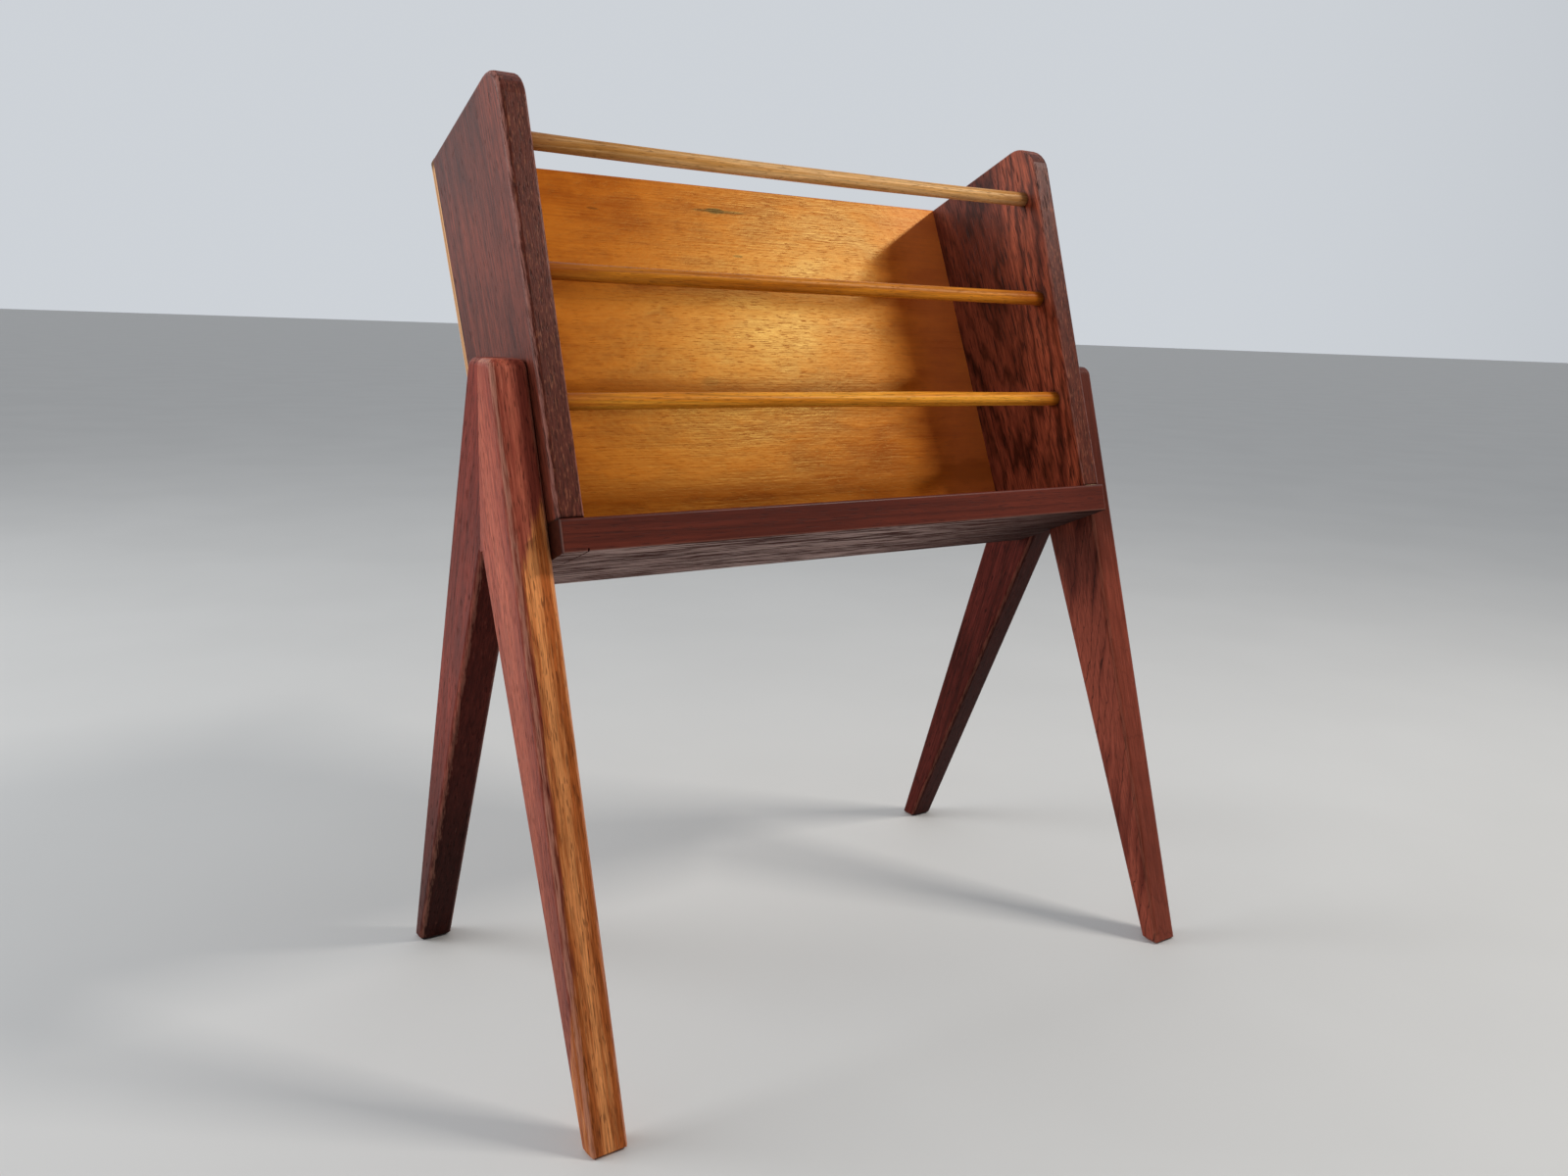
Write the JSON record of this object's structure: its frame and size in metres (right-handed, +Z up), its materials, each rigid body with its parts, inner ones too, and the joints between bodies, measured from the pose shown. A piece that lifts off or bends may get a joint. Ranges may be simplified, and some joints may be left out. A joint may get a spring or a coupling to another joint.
{
  "type": "magazine rack",
  "caption": "Free-standing wooden magazine rack: a back-leaning box with an open railed front, carried between two inverted-V leg frames.",
  "frame": {"origin": "on the floor, midway between the four feet", "axes": "+Z up, +X along the box to its right end, -Y the open front, +Y the back panel"},
  "size_m": [0.442, 0.2688, 0.5287],
  "materials": {
    "panel_wood": "oiled dark rosewood-like hardwood, satin",
    "board_wood": "dark reddish-brown hardwood, satin",
    "leg_wood": "oiled reddish-brown hardwood with pale sapwood, satin",
    "plywood": "amber satin-varnished veneered plywood",
    "rail_wood": "honey-coloured satin-varnished softwood or birch",
    "dowel_wood": "plain unfinished beech",
    "pin_steel": "bright drawn steel"
  },
  "bodies": {
    "root": {"end_panel_left": "panel_wood", "end_panel_right": "panel_wood", "back_panel": "plywood", "bottom_board": "board_wood", "rail_top": "rail_wood", "rail_middle": "rail_wood", "rail_bottom": "rail_wood", "front_leg_left": "leg_wood", "back_leg_left": "leg_wood", "front_leg_right": "leg_wood", "back_leg_right": "leg_wood", "leg_joint_dowels_left": "dowel_wood", "leg_joint_dowels_right": "dowel_wood", "frame_dowels_left": "dowel_wood", "frame_dowels_right": "dowel_wood", "board_dowels_left": "dowel_wood", "board_dowels_right": "dowel_wood", "back_pins_left": "pin_steel", "back_pins_right": "pin_steel", "back_pins_bottom": "pin_steel"}
  },
  "joints": []
}
